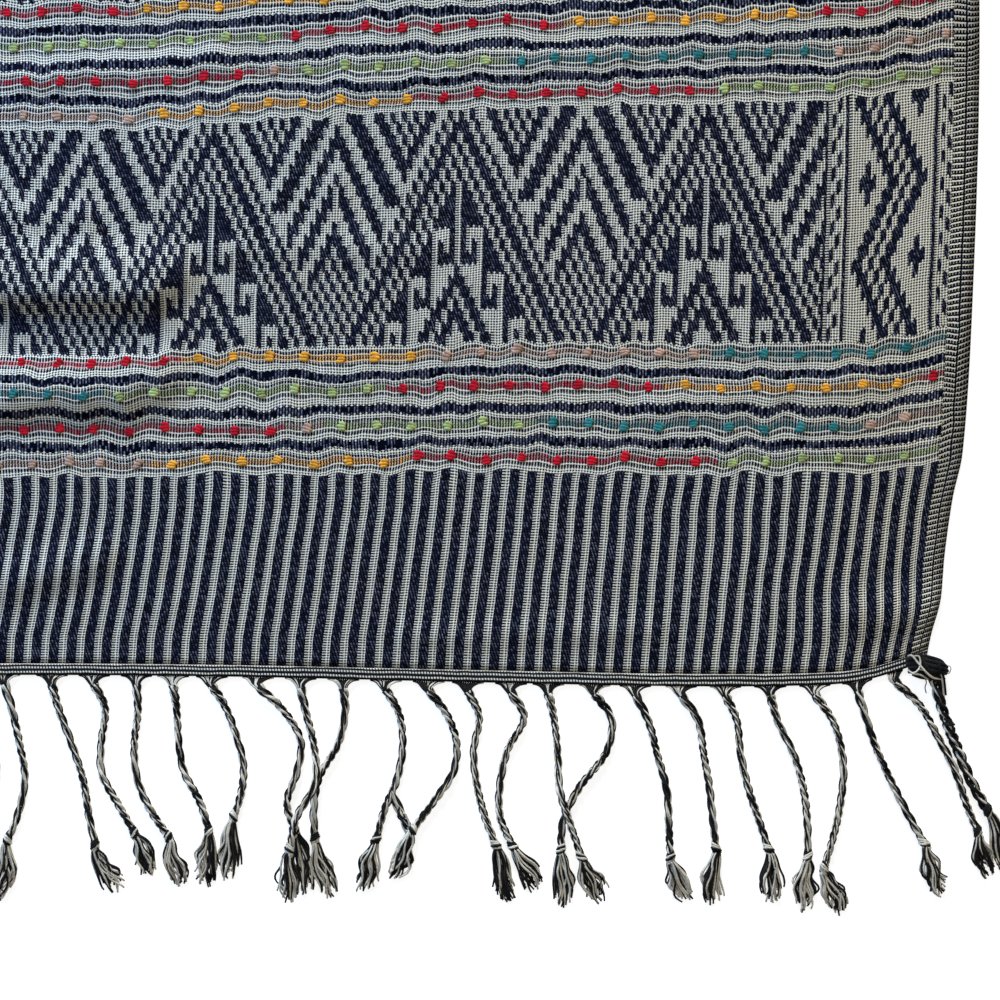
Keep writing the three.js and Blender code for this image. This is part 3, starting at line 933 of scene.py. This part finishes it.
def centripetal(points, samples):
    """Points at even steps of a smooth curve through a few points, which may be samples apart."""
    ends = [points[0] * 2 - points[1], *points, points[-1] * 2 - points[-2]]
    dense = []
    for i in range(len(points) - 1):
        p0, p1, p2, p3 = ends[i:i + 4]
        d0, d1, d2 = ((b - a).length ** 0.5 or 1e-4 for a, b in ((p0, p1), (p1, p2), (p2, p3)))
        m1 = (p1 - p0) / d0 - (p2 - p0) / (d0 + d1) + (p2 - p1) / d1
        m2 = (p2 - p1) / d1 - (p3 - p1) / (d1 + d2) + (p3 - p2) / d2
        m1, m2 = m1 * d1, m2 * d1
        for k in range(CURVE_STEPS):
            u = k / CURVE_STEPS
            dense.append(p1 * (2 * u**3 - 3 * u**2 + 1) + m1 * (u**3 - 2 * u**2 + u)
                         + p2 * (3 * u**2 - 2 * u**3) + m2 * (u**3 - u**2))
    dense.append(points[-1])
    gone = [0.0]
    for a, b in zip(dense, dense[1:]):
        gone.append(gone[-1] + (b - a).length)
    evenly, n = [], 0
    for k in range(samples + 1):
        want = gone[-1] * k / samples
        while n < len(gone) - 2 and gone[n + 1] < want:
            n += 1
        u = (want - gone[n]) / max(1e-9, gone[n + 1] - gone[n])
        evenly.append(dense[n].lerp(dense[n + 1], min(1.0, u)))
    return evenly, gone[-1]


class Cord:
    """Where one fringe cord runs, in millimetres; outward is -1 at the near end, 1 at the far."""

    STEPS = 48

    def __init__(self, cord, hem_at, outward):
        self.cord = cord
        self.outward = outward
        self.hem = lay(-outward * cord["root"], hem_at) / MM
        route = [self.place(0, FAN_DEPTH)]
        route += [self.place(cord[fifth], cord["drop"] * (i + 1) / len(FIFTHS))
                  for i, fifth in enumerate(FIFTHS)]
        self.route, self.length = centripetal(route, self.STEPS)
        for i, point in enumerate(self.route):
            point.z = GAP + CORD_RADIUS + self.raised(i / self.STEPS)
        self.foot = self.route[-1].copy()
        self.foot.z = GAP + KNOT_RADIUS + self.raised(1)
        self.tip = Vector((self.foot.x - outward * cord["tip"],
                           self.foot.y + outward * cord["reach"], 0))

    def place(self, sway, drop):
        return Vector((self.hem.x - self.outward * sway, self.hem.y + self.outward * drop, 0))

    def raised(self, part):
        if "over" not in self.cord:
            return 0.0
        u = min(1.0, max(0.0, part * len(FIFTHS) - self.cord["over"] + 1))
        return CROSSING_LIFT * u * u * (3 - 2 * u)

    def frame_at(self, i):
        """The point, the way ahead and the way aside at one step of the route."""
        a = self.route[max(0, i - 1)]
        b = self.route[min(self.STEPS, i + 1)]
        ahead = (b - a).normalized()
        return self.route[i], ahead, ahead.cross(Vector((0, 0, 1))).normalized()


PLIES = 3
PLY_TURN = 19.0               # length of one full turn of the plies
PLY_OFFSET = 1.32             # from the cord's middle to the middle of a ply
YARN_OFFSET = 0.52            # from the middle of a ply to the middle of a yarn
YARN_RADIUS = 0.54
YARNS_PER_PLY = 4
BACK_TWIST = -0.8             # the yarns of a ply turn the other way
TURN_STRAYS = 3.0             # the plies turn sooner or later by this, in waves
TURN_WAVE = 9.0
TOP_SWELL = 0.3               # a cord is this much thicker at its top, and less down to TOP_LENGTH
TOP_LENGTH = 14
FLOOR_GAP = 0.1               # the least gap between a thread and the surface
WHITE_YARNS = (1, 2, 2, 2)    # how many yarns of a ply are white, drawn for each ply
BLACK, WHITE = 0, 1


def cord_threads(cord, rng):
    """The yarns of all plies of one cord."""
    threads = []
    start = rng.random() * 2 * math.pi
    wide = cord.cord.get("thick", 1.0)
    colours = []
    for ply in range(PLIES):
        whites = 1 if wide > 1 else rng.choice(WHITE_YARNS)
        of_ply = [True] * whites + [False] * (YARNS_PER_PLY - whites)
        rng.shuffle(of_ply)
        colours.append(of_ply)
    for ply in range(PLIES):
        for yarn in range(YARNS_PER_PLY):
            points = []
            for i in range(cord.STEPS + 1):
                middle, ahead, aside = cord.frame_at(i)
                up = aside.cross(ahead)
                gone = cord.length * i / cord.STEPS
                strays = TURN_STRAYS * math.sin(gone / TURN_WAVE + start)
                turned = start + 2 * math.pi * (gone + strays) / PLY_TURN
                ply_at = turned + 2 * math.pi * ply / PLIES
                yarn_at = turned * BACK_TWIST + 2 * math.pi * yarn / YARNS_PER_PLY
                offset = (aside * math.cos(ply_at) + up * math.sin(ply_at)) * PLY_OFFSET
                offset += (aside * math.cos(yarn_at) + up * math.sin(yarn_at)) * YARN_OFFSET
                swell = wide * (1 + TOP_SWELL * max(0.0, 1 - gone / TOP_LENGTH))
                at = middle + offset * swell
                at.z = max(at.z, YARN_RADIUS * wide + FLOOR_GAP)
                points.append(at * MM)
            radii = [YARN_RADIUS * wide * MM] * len(points)
            threads.append((points, radii, WHITE if colours[ply][yarn] else BLACK))
    return threads


WRAP_RADIUS = 0.62
WRAPS = 5
WRAP_STEPS = 16
WRAP_TURNS = 1.08
WRAP_SHIFT = 0.7              # radians from the start of one wrap to the next
WRAP_TAPER = 0.35             # wraps away from the knot's middle are tighter by this each
WRAP_SLANT = 1.6
WRAP_PITCH = 0.5
KNOB_WRAPS = 3
KNOB_OFFSET = Vector((0.8, 0, 0.9))


def knot_threads(cord, rng):
    """An overhand knot: slanted wraps round the end of the cord, and round a knob on its way."""
    _, ahead, aside = cord.frame_at(cord.STEPS - 2)
    threads = wrap_threads(cord.foot - ahead * KNOT_LENGTH * 0.45, ahead, aside, rng)
    if "knob" in cord.cord:
        at, ahead, aside = cord.frame_at(round(cord.STEPS * cord.cord["knob"]))
        threads += wrap_threads(at + KNOB_OFFSET, ahead, aside, rng)[:KNOB_WRAPS]
    return threads


def wrap_threads(middle, ahead, aside, rng):
    """Slanted wraps round a cord, most swollen at their middle."""
    threads = []
    up = aside.cross(ahead)
    slant = rng.uniform(0.5, 1.0) * rng.choice((-1, 1))
    for wrap in range(WRAPS):
        from_middle = wrap - (WRAPS - 1) / 2
        along = from_middle * KNOT_LENGTH / WRAPS
        swell = KNOT_RADIUS - WRAP_RADIUS - WRAP_TAPER * abs(from_middle)
        points = []
        for k in range(WRAP_STEPS + 1):
            turned = 2 * math.pi * WRAP_TURNS * k / WRAP_STEPS + wrap * WRAP_SHIFT
            shift = along + slant * WRAP_SLANT * math.cos(turned) + WRAP_PITCH * k / WRAP_STEPS
            at = middle + ahead * shift
            at += (aside * math.cos(turned) + up * math.sin(turned)) * swell
            at.z = max(at.z, WRAP_RADIUS + FLOOR_GAP)
            points.append(at * MM)
        radii = [WRAP_RADIUS * MM] * len(points)
        threads.append((points, radii, WHITE if rng.random() < 0.5 else BLACK))
    return threads


TUFT_THREADS = 33
TUFT_RADIUS = 0.6
TUFT_STEPS = 13
TUFT_HALF_WIDTH = 6.0
TUFT_LOCKS = 4
TUFT_BOW = 1.3                # how far a whole tuft bows to one side
TUFT_TIP_HEIGHT = 1.4
TUFT_AT_KNOT = 0.22           # the share of its width that a tuft has at the knot
TUFT_WHITES = 0.48            # the share of white threads


def tuft_threads(cord, rng):
    """Loose threads from the knot to the tip, splayed, some curling."""
    threads = []
    tip_height = TUFT_TIP_HEIGHT + TUFT_SETTLES * cord.raised(1)
    start = Vector((cord.foot.x, cord.foot.y, 0))
    way = cord.tip - start
    ahead = way.normalized()
    aside = ahead.cross(Vector((0, 0, 1)))
    bow = rng.uniform(-TUFT_BOW, TUFT_BOW)
    locks = [dict(phase=rng.uniform(0, 2 * math.pi), turns=rng.uniform(0.7, 1.7),
                  curl=rng.uniform(0.5, 1.6)) for _ in range(TUFT_LOCKS)]
    for n in range(TUFT_THREADS):
        spread = (n + 0.5) / TUFT_THREADS * 2 - 1
        lock = locks[n * len(locks) // TUFT_THREADS]
        spread = spread * TUFT_HALF_WIDTH * rng.uniform(0.6, 1.1)
        reach = way.length * rng.uniform(0.74, 1.05) * (1 - 0.006 * spread * spread)
        curl = lock["curl"] + rng.uniform(-0.3, 0.9)
        phase = lock["phase"] + rng.uniform(-0.5, 0.5)
        turns = lock["turns"] + rng.uniform(-0.15, 0.25)
        layer = rng.uniform(0, 1)
        points, radii = [], []
        for k in range(TUFT_STEPS + 1):
            u = k / TUFT_STEPS
            opened = TUFT_AT_KNOT + (1 - TUFT_AT_KNOT) * min(1.0, u * 1.5) ** 0.8
            fan = spread * opened
            fan += curl * math.sin(phase + turns * 2 * math.pi * u) * u ** 0.6
            fan += bow * math.sin(math.pi * u)
            bulge = math.sin(math.pi * min(1.0, u * 1.15)) * 1.1
            base = cord.foot.z * (1 - u) + tip_height * u
            height = base + (layer - 0.5) * (2.6 * (1 - u) + 1.6) + bulge * (layer - 0.2)
            height = max(GAP + TUFT_RADIUS, height)
            at = start + ahead * (reach * u - 0.8) + aside * fan
            at.z = height
            points.append(at * MM)
            radii.append(TUFT_RADIUS * (1.0 if u < 0.9 else 0.8) * MM)
        threads.append((points, radii, WHITE if rng.random() < TUFT_WHITES else BLACK))
    return threads


FAN_THREADS = 15
FAN_RADIUS = 0.5
FAN_STEPS = 9
FAN_HEIGHT = 0.9
FAN_WHITES = 0.32


def fan_threads(cord, hem_at, rng):
    """Warp ends that leave the hem side by side and gather into the cord."""
    threads = []
    half = cord.cord.get("fan", FAN_HALF_WIDTH) + 2 * FAN_RADIUS
    root = -cord.outward * cord.cord["root"]
    outward = Vector((0, cord.outward, 0))
    start, ahead, _ = cord.frame_at(0)
    for n in range(FAN_THREADS):
        spread = 2 * n / (FAN_THREADS - 1) - 1
        leaves = lay(root + spread * half, hem_at, FAN_HEIGHT) / MM
        inside = leaves - outward * 1.2
        gather = start - ahead * 1.6 + Vector((spread * 2.3, 0, rng.uniform(-0.8, 0.8)))
        bend = leaves.lerp(gather, 0.5) - outward * 1.1 * abs(spread)
        end = gather + ahead * 6.0 + Vector((-spread * 0.9, 0, 0))
        points, _ = centripetal([inside, leaves, bend, gather, end], FAN_STEPS)
        radii = [FAN_RADIUS * MM] * len(points)
        colour = WHITE if rng.random() < FAN_WHITES else BLACK
        threads.append(([p * MM for p in points], radii, colour))
    return threads


# The near corner on the right is drawn into a knot: lines round it, from its middle, in
# millimetres along X, along Y and up; then the thread's radius and its colour.
CORNER_MIDDLE = Vector((0, -3, 3.9))
CORNER_LINES = [
    ([(-10.5, 3.5, -1), (-5, 5.2, 1.2), (2, 3.4, 2.6), (9, 1.5, 1.4), (11, 0, -1)], 1.25, BLACK),
    ([(-10.5, 1.5, -1), (-5, 2.6, 2.6), (2, 1.0, 3.4), (9, -0.8, 2.0), (11.2, -2, -1)], 1.35, BLACK),
    ([(-9.5, -0.5, 0), (-4, 0.4, 3.0), (3, -1.6, 3.4), (9.5, -2.6, 1.4), (10.5, -3, -1)], 1.3, BLACK),
    ([(-9.5, -2, -1), (-4, -2.4, 2.0), (2, -3.8, 2.2), (7, -5.0, 1.0), (9.5, -6.5, -1)], 1.3, BLACK),
    ([(-8, 4.5, -2), (-3, 6.0, -0.4), (3, 5.0, 0), (8, 3.2, -0.6), (10, 1, -2.5)], 1.2, BLACK),
    ([(-7, -3.5, -2), (-3, -5.0, 0.2), (2, -5.6, 0.6), (6, -6.2, -0.4), (8, -9, -1.5)], 1.2, BLACK),
    ([(-4, 5.5, 0), (-2, 3, 3.8), (0, -1, 4.4), (1.6, -5, 2.4), (2, -7, -1)], 0.95, BLACK),
    ([(5, 3.6, 0), (6.4, 1, 3.4), (6.6, -2, 3.6), (5.6, -5.5, 1.0), (5, -7, -2)], 0.95, BLACK),
    ([(-10, 6.2, 1.5), (-8.6, 6.8, 3.2), (-5, 2.6, 4.4), (-0.5, -2.6, 4.9), (3, -5.2, 3.2),
      (8, -6.2, 1.0)], 0.55, WHITE),
    ([(-8, 6.0, 2.5), (-4.6, 6.2, 3.4), (-4.0, 1, 4.6), (-6.5, -2.4, 3.8), (-9, -2.8, 1.0)],
     0.5, WHITE),
    ([(-10, -1.4, 1.2), (-7.6, -3.0, 3.0), (-3.5, -3.8, 3.2), (0.5, -6.2, 2.0)], 0.5, WHITE),
    ([(11.0, 1.4, 0.2), (12.8, 0.6, 0.8), (12.9, -1.6, 0.8), (11.8, -3.2, 0.6),
      (10.6, -2.0, 0.2)], 0.42, WHITE),
    ([(-0.5, -6.0, 0.6), (0.2, -8.5, -1.6), (-0.3, -11, -2.8), (0.4, -14, -3.1)], 0.3, BLACK),
    ([(6, -4, 0.5), (7, -7, 0), (8.0, -11, -0.8), (9.0, -15, -1.4)], 1.0, BLACK),
    ([(8.6, -3, 0.5), (9.4, -7, 0), (10.0, -11, -0.8), (10.4, -15, -1.4)], 0.9, BLACK),
    ([(7.4, -3, 1.8), (8.4, -7, 1.2), (9.0, -11, 0.2), (9.6, -16, -0.6)], 0.5, WHITE),
]
# Loose fibres caught between two cords, in the same way, from the near hem at FLUFF_AT.
FLUFF_AT = 54.7
FLUFF_LINES = [
    ([(-3.2, -60, 2.2), (-0.6, -65, 3.4), (2.2, -71, 3.2), (5.0, -77, 3.2), (8.2, -83, 3.6)],
     0.8, WHITE),
    ([(-2.4, -61, 1.4), (1.2, -65.5, 2.6), (1.6, -72, 4.0), (6.4, -77, 2.6), (7.2, -83, 2.4)],
     0.75, BLACK),
    ([(-3.6, -62, 1.2), (-1.0, -67, 2.2), (3.8, -72, 2.4), (4.2, -78, 3.8), (9.0, -82, 2.6)],
     0.7, BLACK),
    ([(-2.0, -59.5, 3.0), (0.4, -66.5, 4.2), (3.2, -70, 2.0), (6.6, -75.5, 3.6), (7.6, -82, 4.2)],
     0.6, WHITE),
    ([(-3.0, -63, 0.9), (-0.8, -69, 1.4), (2.4, -74, 1.2), (3.6, -79, 1.4), (6.2, -83.5, 1.4)],
     0.7, WHITE),
    ([(-1.4, -61, 0.9), (2.6, -67, 1.2), (4.6, -73, 1.2), (7.6, -78, 1.3), (9.6, -82.5, 1.4)],
     0.7, BLACK),
    ([(-1.6, -62.5, 3.4), (1.8, -68, 3.0), (1.0, -73.5, 3.0), (4.0, -76, 4.6), (7.0, -80, 3.2)],
     0.5, BLACK),
    ([(2.8, -73, 2.0), (5.6, -74.6, 3.4), (5.4, -72.2, 3.0), (3.4, -71.4, 2.6)], 0.35, WHITE),
]


LINE_FLOOR_GAP = 0.15


def line_threads(lines, start):
    """Listed lines as threads, each a smooth curve."""
    threads = []
    for places, radius, colour in lines:
        points, _ = centripetal([start + Vector(place) for place in places], 4 * len(places))
        points = [Vector((p.x, p.y, max(p.z, radius + LINE_FLOOR_GAP))) * MM for p in points]
        threads.append((points, [radius * MM] * len(points), colour))
    return threads


FRINGE_SEEDS = dict(near=41, far=97)


def make_fringe(end, cords, hem_at, outward, yarns):
    """All threads of one fringe, and at the near end the corner's knot and the loose fibres."""
    rng = random.Random(FRINGE_SEEDS[end])
    laid = [Cord(cord, hem_at, outward) for cord in cords]
    pieces = [
        thread_piece("cords_" + end, [x for c in laid for x in cord_threads(c, rng)], yarns),
        thread_piece("knots_" + end, [x for c in laid for x in knot_threads(c, rng)], yarns, 6),
        thread_piece("tufts_" + end, [x for c in laid for x in tuft_threads(c, rng)], yarns),
        thread_piece("fans_" + end, [x for c in laid for x in fan_threads(c, hem_at, rng)],
                     yarns),
    ]
    if end == "near":
        corner = line_threads(CORNER_LINES, lay(WIDTH / 2, 0) / MM + CORNER_MIDDLE)
        hem = lay(FLUFF_AT, 0) / MM
        fluff = line_threads(FLUFF_LINES, Vector((hem.x, hem.y, 0)))
        pieces.append(thread_piece("corner_knot", corner, yarns, 8))
        pieces.append(thread_piece("loose_fibres", fluff, yarns))
    return pieces


# ---- Coloured slubs ------------------------------------------------------------------------

DOT_PITCHES = (18.95, 19.1, 19.1, 19.1)
# Where a dot lies near the middle of the cloth, on each line of even and of odd bands.
DOT_FIRST = ((14.3, 10.8, 5.5, 9.4), (4.3, 7.4, 0.1, -3.7))
DOT_SIZE = (2.8, 2.45, 1.0)
DOT_SQUARENESS = 0.62
DOT_STRAYS = 0.6
DOT_TURNS = (-0.45, 0.1)
SLUB_STRANDS = 3
SELVAGE_CLEAR = 3             # no dot lies closer to the selvage
SLUB_SEED = 7
FINE_REPEATS = 2              # dots of the first bands are rounder


def colour_at(run, s):
    """The colour of a run at one place: each colour ends where the next one starts."""
    return next(name for name, end in run if end is None or s < end)


def add_slub(slubs, at, colour, detail, rng):
    """One dot: a few short thick strands side by side."""
    wide, high, deep = (axis * rng.uniform(0.85, 1.1) for axis in DOT_SIZE)
    turn = rng.uniform(*DOT_TURNS)
    for strand in range(SLUB_STRANDS):
        made = bmesh.ops.create_icosphere(slubs, subdivisions=detail, radius=1.0)
        offset = (strand - (SLUB_STRANDS - 1) / 2) * 2 / SLUB_STRANDS * high
        aside = rng.uniform(-0.5, 0.5)
        long = wide * rng.uniform(0.85, 1.05) * (1 - 0.08 * abs(offset))
        for vert in made["verts"]:
            x, y, z = (math.copysign(abs(c) ** DOT_SQUARENESS, c) for c in vert.co)
            x = x * long + aside
            y = y * high / SLUB_STRANDS * 1.25 + offset + 0.25 * math.sin(x * 1.3 + strand)
            vert.co = (at + Vector((x * math.cos(turn) - y * math.sin(turn),
                                    x * math.sin(turn) + y * math.cos(turn), z * deep))) * MM
        for face in {f for v in made["verts"] for f in v.link_faces}:
            face.material_index = colour
            face.smooth = True


def make_slubs(materials):
    """A slub of thick yarn at every dot of the coloured lines."""
    rng = random.Random(SLUB_SEED)
    names = list(SLUB_COLOURS)
    slubs = bmesh.new()
    for repeat in range(REPEATS + 1):
        for line, (middle, run) in enumerate(zip(COLOUR_LINES, COLOUR_RUNS)):
            t = HEM + STRIPE_BAND + repeat * BAND_REPEAT + middle
            first = DOT_FIRST[repeat % 2][line]
            count = int(WIDTH / DOT_PITCHES[line])
            row_of_slubs = bmesh.new()
            for n in range(-count // 2 - 1, count // 2 + 2):
                s = first + n * DOT_PITCHES[line] + rng.uniform(-DOT_STRAYS, DOT_STRAYS)
                if abs(s) > SELVAGE_START - SELVAGE_CLEAR:
                    continue
                shift = RUN_SHIFTS[line] * (repeat % 2)
                colour = names.index(colour_at(run, s + shift))
                at = lay(s, t, WALL) / MM
                detail = 2 if repeat < FINE_REPEATS else 1
                add_slub(row_of_slubs, at, colour, detail, rng)
            made = mesh_of("row_of_slubs", row_of_slubs)
            slubs.from_mesh(made)
            bpy.data.meshes.remove(made)
    mesh = mesh_of("colour_slubs", slubs, [materials[name] for name in names])
    return placed("colour_slubs", mesh)


# ---- Floor and light -----------------------------------------------------------------------

FLOOR_SIZE = 6                # metres
FLOOR_GREY = (0.5, 0.5, 0.5, 1)
FLOOR_GLOW = (1.0, 1.0, 0.995, 1)
FLOOR_GLOW_STRENGTH = 0.72
ROOM_COLOUR = (1.0, 0.99, 0.97, 1)
ROOM_STRENGTH = 0.27


def make_stage():
    floor = bmesh.new()
    bmesh.ops.create_grid(floor, x_segments=1, y_segments=1, size=FLOOR_SIZE)
    material, _, shader = new_material("pale_floor", roughness=0.9, sheen=0.0, specular=0.0)
    shader.inputs["Base Color"].default_value = FLOOR_GREY
    shader.inputs["Emission Color"].default_value = FLOOR_GLOW
    shader.inputs["Emission Strength"].default_value = FLOOR_GLOW_STRENGTH
    piece = placed("floor", mesh_of("floor", floor, [material]))
    return piece


def area_light(name, at, towards, size, power, colour):
    data = bpy.data.lights.new(name, "AREA")
    data.shape = "SQUARE"
    data.size = size
    data.energy = power
    data.color = colour
    lamp = placed(name, data)
    lamp.location = at
    lamp.rotation_mode = "QUATERNION"
    lamp.rotation_quaternion = (Vector(towards) - Vector(at)).to_track_quat("-Z", "Y")


def make_light():
    world = bpy.data.worlds.new("soft_room")
    world.use_nodes = True
    background = world.node_tree.nodes["Background"]
    background.inputs["Color"].default_value = ROOM_COLOUR
    background.inputs["Strength"].default_value = ROOM_STRENGTH
    bpy.context.scene.world = world
    bpy.context.scene.view_settings.view_transform = "Standard"
    area_light("window", at=(-0.5, 3.5, 1.5), towards=(0.05, -0.85, 0), size=1.4, power=338,
               colour=(0.97, 0.98, 1.0))
    area_light("blue_corner", at=(-0.85, -0.2, 0.42), towards=(-0.15, -0.75, 0), size=0.5,
               power=15, colour=(0.10, 0.42, 1.0))
    area_light("overhead", at=(0.6, -1.2, 3.0), towards=(0.1, -0.8, 0), size=2.5, power=26,
               colour=(1.0, 0.97, 0.93))


# ---- Putting it together -------------------------------------------------------------------

make_camera()
floor = make_stage()
make_light()

black_yarn = yarn_material("black_yarn", (0.002, 0.002, 0.002), (0.014, 0.013, 0.012))
white_yarn = yarn_material("white_yarn", (0.26, 0.24, 0.19), (0.62, 0.58, 0.48))
slub_yarns = {name: yarn_material(name + "_yarn", [c * SLUB_SHADE for c in colour], colour)
              for name, colour in SLUB_COLOURS.items()}
right_side = weave_material("weave_right_side", wrong_side=False)
wrong_side = weave_material("weave_wrong_side", wrong_side=True)
hem_weave = hem_material()

web = make_web([right_side, wrong_side])
hem_near = make_hem("hem_near", 0, HEM - GAP, hem_weave)
hem_far = make_hem("hem_far", LENGTH - HEM + GAP, LENGTH, hem_weave)
slubs = make_slubs(slub_yarns)
fringe_near = make_fringe("near", near_cords(), 0, -1, [black_yarn, white_yarn])
fringe_far = make_fringe("far", far_cords(), LENGTH, 1, [black_yarn, white_yarn])

for piece in [web, slubs, hem_near, hem_far, *fringe_near, *fringe_far]:
    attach(piece, "root")
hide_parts("cloth")
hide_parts("fringe_near")
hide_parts("fringe_far")
